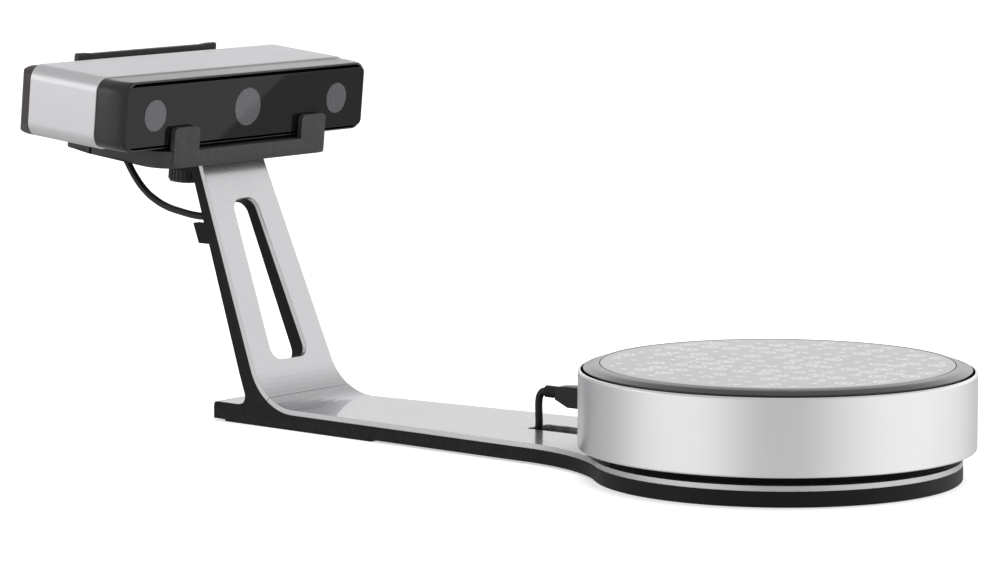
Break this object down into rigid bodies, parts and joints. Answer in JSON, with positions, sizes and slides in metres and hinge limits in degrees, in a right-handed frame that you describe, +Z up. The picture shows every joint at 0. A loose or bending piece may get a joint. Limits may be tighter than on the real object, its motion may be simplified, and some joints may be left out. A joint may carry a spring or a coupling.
{
  "type": "desktop 3d scanner",
  "caption": "Desktop 3D scanner: a pitched stereo head in a cradle on a leaning neck, a long flat arm and a geared motor turntable with a marker disc.",
  "frame": {"origin": "bottom centre of the whole object: in the middle of its length and width, on the surface it stands on", "axes": "+Z up, +X along the arm from the scanning head to the turntable, +Y to the left of that direction"},
  "size_m": [0.5669, 0.2104, 0.2076],
  "materials": {
    "base_black": "fine moulded texture",
    "silver_skin": "bead-blasted and lacquered",
    "drum_silver": "satin",
    "rubber": "matt",
    "lead_black": "satin",
    "tray_black": "fine moulded texture",
    "bezel_black": "satin",
    "cap_brown": "satin",
    "glass": "smoked, polished",
    "platter_black": "satin",
    "marker": "printed film",
    "steel": "machined",
    "nylon": "moulded",
    "board": "lacquered",
    "inner_black": "moulded",
    "motor_steel": "zinc plated"
  },
  "bodies": {
    "root": {"stand_frame": "base_black", "arm_skin": "silver_skin", "neck_skin": "silver_skin", "heel_plate": "silver_skin", "bottom_cover": "base_black", "rear_foot_pad": "rubber", "disc_feet": "rubber", "cover_screws": "steel", "cable_clip": "base_black", "lead": "lead_black", "head_plug": "lead_black", "turntable_plug": "lead_black", "cradle": "tray_black", "cradle_pads": "rubber", "head_sleeve": "silver_skin", "front_bezel": "bezel_black", "front_glass": "glass", "rear_cap": "cap_brown", "optics_plate": "motor_steel", "camera_left": "inner_black", "camera_right": "inner_black", "projector": "inner_black", "main_board": "board", "power_inlet": "inner_black", "usb_port": "steel", "lead_port": "inner_black", "button_switch": "inner_black", "cap_screws": "steel", "drum_shell": "drum_silver", "turntable_chassis": "base_black", "upper_bearing": "steel", "lower_bearing": "steel", "idler_pin": "steel", "idler_clip": "steel", "drive_motor": "motor_steel", "motor_screws": "steel", "turntable_board": "board", "turntable_socket": "inner_black", "unit_screws": "steel"},
    "turntable": {"platter": "platter_black", "marker_disc": "marker", "platter_gear": "nylon", "gear_screws": "steel", "spindle": "steel", "spindle_clip": "steel"},
    "idler": {"idler_gear": "nylon"},
    "pinion": {"motor_pinion": "nylon", "motor_shaft": "steel"},
    "thumb_screw": {"knob": "tray_black", "knob_stud": "steel"},
    "button": {"power_button": "inner_black"}
  },
  "joints": [
    {"name": "platter_turn", "type": "hinge", "parent": "root", "child": "turntable", "pos_m": [0.17841, 0, 0.03], "axis": [0, 0, 1], "continuous": true},
    {"name": "idler_spin", "type": "hinge", "parent": "root", "child": "idler", "pos_m": [0.20654, 0.04871, 0.045], "axis": [0, 0, 1], "continuous": true},
    {"name": "motor_spin", "type": "hinge", "parent": "root", "child": "pinion", "pos_m": [0.17406, 0.06746, 0.042], "axis": [0, 0, 1], "continuous": true},
    {"name": "thumb_screw_turn", "type": "hinge", "parent": "root", "child": "thumb_screw", "pos_m": [-0.23827, 0, 0.14167], "axis": [0.0976, 0, 0.9952], "continuous": true},
    {"name": "button_press", "type": "slide", "parent": "root", "child": "button", "axis": [0.9952, 0, -0.0976], "range_m": [0, 0.0012], "stiffness_N_per_m": 300, "springref_m": -0.0006}
  ],
  "couplings": [
    {"joint": "idler_spin", "follows": "platter_turn", "ratio": -4},
    {"joint": "motor_spin", "follows": "platter_turn", "ratio": 12}
  ]
}
